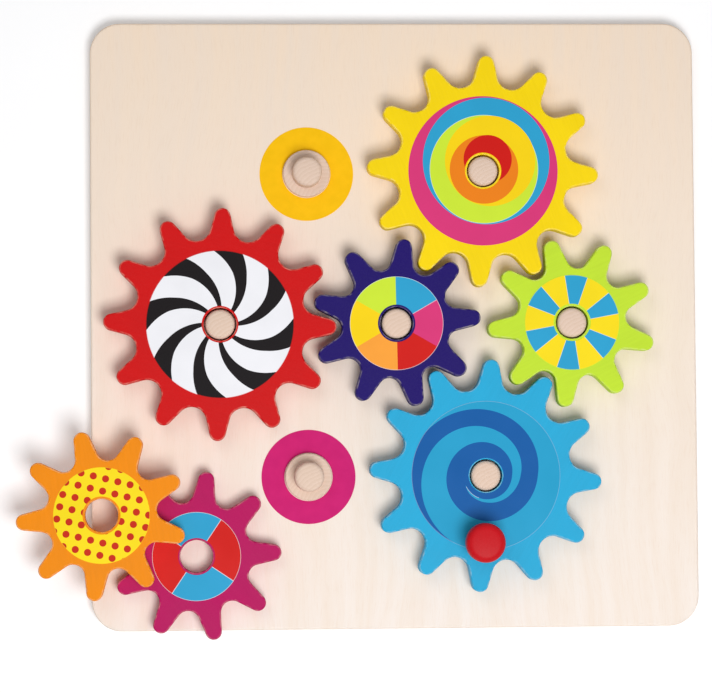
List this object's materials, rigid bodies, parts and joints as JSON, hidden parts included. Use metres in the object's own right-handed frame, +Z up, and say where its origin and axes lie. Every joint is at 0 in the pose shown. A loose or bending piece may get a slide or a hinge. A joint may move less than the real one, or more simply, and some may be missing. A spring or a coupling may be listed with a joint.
{
  "type": "wooden crank gear toy",
  "caption": "Square wooden board with pegs that carry toothed gears in mesh; turning the knob on one gear drives the others.",
  "frame": {"origin": "middle of the board's underside, on the axis of the middle peg", "axes": "+Z up out of the board, +X towards the lime gear's peg, +Y towards the board's far edge"},
  "size_m": [0.3359, 0.304, 0.0443],
  "materials": {
    "board_wood": "bare pale plywood, clear matt lacquer",
    "peg_wood": "bare turned wood",
    "knob_paint": "red satin paint on wood",
    "indigo_paint": "indigo satin paint on wood",
    "indigo_print": "printed label film, satin",
    "indigo_ink": "flat printing ink",
    "lime_paint": "lime satin paint on wood",
    "lime_print": "printed label film, satin",
    "lime_ink": "flat printing ink",
    "yellow_paint": "yellow satin paint on wood",
    "yellow_print": "printed label film, satin",
    "yellow_ink": "flat printing ink",
    "orange_paint": "orange satin paint on wood",
    "orange_print": "printed label film, satin",
    "orange_ink": "flat printing ink",
    "red_paint": "red satin paint on wood",
    "red_print": "printed label film, satin",
    "red_ink": "flat printing ink",
    "magenta_paint": "magenta satin paint on wood",
    "magenta_print": "printed label film, satin",
    "magenta_ink": "flat printing ink",
    "cyan_paint": "cyan satin paint on wood",
    "cyan_print": "printed label film, satin",
    "cyan_ink": "flat printing ink"
  },
  "bodies": {
    "board": {"base_board": "board_wood", "peg_middle": "peg_wood", "peg_right": "peg_wood", "peg_upper_right": "peg_wood", "peg_upper_left": "peg_wood", "peg_left": "peg_wood", "peg_lower_left": "peg_wood", "peg_lower_right": "peg_wood", "indigo_ring": "indigo_ink", "lime_ring": "lime_ink", "yellow_ring": "yellow_ink", "orange_ring": "orange_ink", "red_ring": "red_ink", "magenta_ring": "magenta_ink", "cyan_ring": "cyan_ink"},
    "indigo_gear": {"indigo_gear": "indigo_paint", "indigo_label": "indigo_print"},
    "lime_gear": {"lime_gear": "lime_paint", "lime_label": "lime_print"},
    "yellow_gear": {"yellow_gear": "yellow_paint", "yellow_label": "yellow_print"},
    "orange_gear": {"orange_gear": "orange_paint", "orange_label": "orange_print"},
    "red_gear": {"red_gear": "red_paint", "red_label": "red_print"},
    "magenta_gear": {"magenta_gear": "magenta_paint", "magenta_label": "magenta_print"},
    "cyan_gear": {"cyan_gear": "cyan_paint", "cyan_label": "cyan_print", "crank_knob": "knob_paint"}
  },
  "joints": [
    {"name": "crank_spin", "type": "hinge", "parent": "board", "child": "cyan_gear", "pos_m": [0.04325, -0.07491, 0.0132], "axis": [0, 0, 1], "continuous": true},
    {"name": "yellow_spin", "type": "hinge", "parent": "board", "child": "yellow_gear", "pos_m": [0.04325, 0.07491, 0.0132], "axis": [0, 0, 1], "continuous": true},
    {"name": "red_spin", "type": "hinge", "parent": "board", "child": "red_gear", "pos_m": [-0.0865, 0, 0.0132], "axis": [0, 0, 1], "continuous": true},
    {"name": "indigo_spin", "type": "hinge", "parent": "board", "child": "indigo_gear", "pos_m": [0, 0, 0.0132], "axis": [0, 0, 1], "continuous": true},
    {"name": "lime_spin", "type": "hinge", "parent": "board", "child": "lime_gear", "pos_m": [0.0865, 0, 0.0132], "axis": [0, 0, 1], "continuous": true},
    {"name": "magenta_lift", "type": "slide", "parent": "board", "child": "magenta_gear", "axis": [0, 0, 1], "range_m": [0, 0.06]},
    {"name": "orange_lift", "type": "slide", "parent": "magenta_gear", "child": "orange_gear", "axis": [0, 0, 1], "range_m": [0, 0.06]}
  ],
  "couplings": [
    {"joint": "yellow_spin", "follows": "crank_spin", "ratio": 1},
    {"joint": "red_spin", "follows": "crank_spin", "ratio": 1},
    {"joint": "indigo_spin", "follows": "crank_spin", "ratio": -1.3333},
    {"joint": "lime_spin", "follows": "crank_spin", "ratio": -1.3333}
  ]
}
